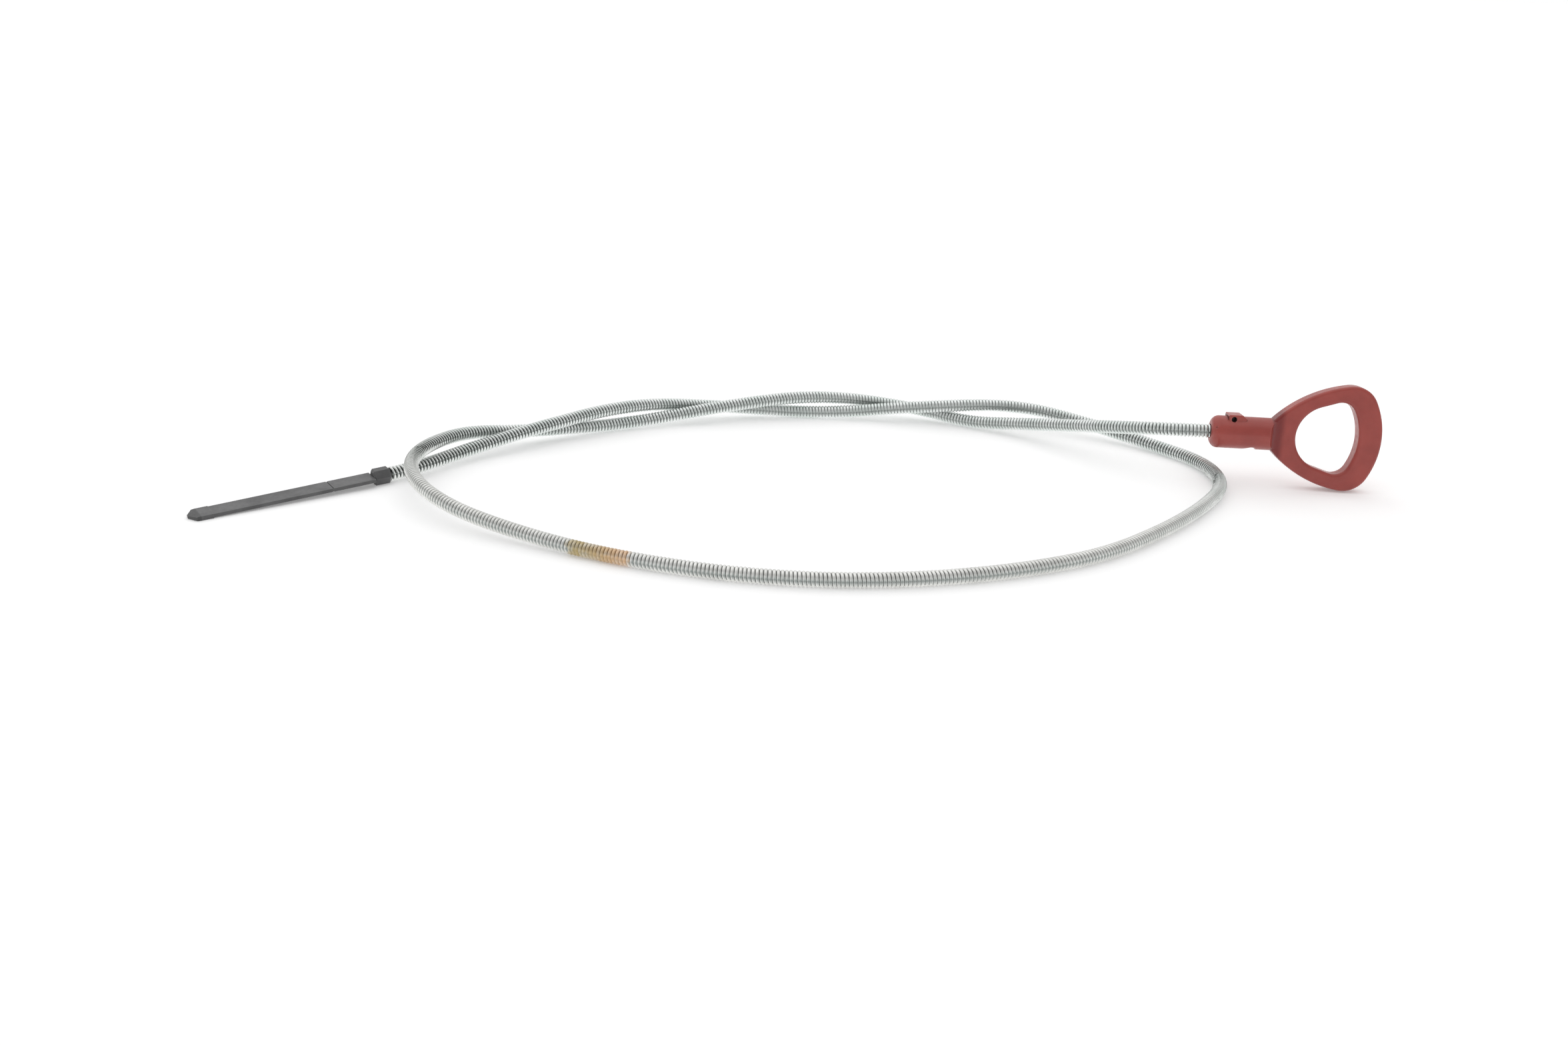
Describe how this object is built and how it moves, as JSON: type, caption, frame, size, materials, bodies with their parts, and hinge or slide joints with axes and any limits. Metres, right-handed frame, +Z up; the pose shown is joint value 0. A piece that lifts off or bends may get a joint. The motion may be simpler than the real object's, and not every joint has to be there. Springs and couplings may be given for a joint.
{
  "type": "transmission dipstick",
  "caption": "Flexible transmission dipstick: moulded finger-loop handle, long close-wound spring stem lying in a loose coil, and a flat plastic measuring blade with a level mark.",
  "frame": {"origin": "on the table, under the middle of the box around the handle and the blade", "axes": "+X from the blade towards the handle, +Y away from the front run of the stem, +Z up from the table"},
  "size_m": [0.4177, 0.1757, 0.0394],
  "materials": {
    "handle_plastic": "satin brick red moulding, paler along its edges",
    "plated_spring": "dull zinc plating with dark grooves and an amber stain",
    "core_steel": "plain drawn wire",
    "blade_plastic": "dark grey satin moulding, a little oily"
  },
  "bodies": {
    "root": {"handle": "handle_plastic", "stem_spring": "plated_spring", "core_wire": "core_steel", "blade": "blade_plastic"}
  },
  "joints": []
}
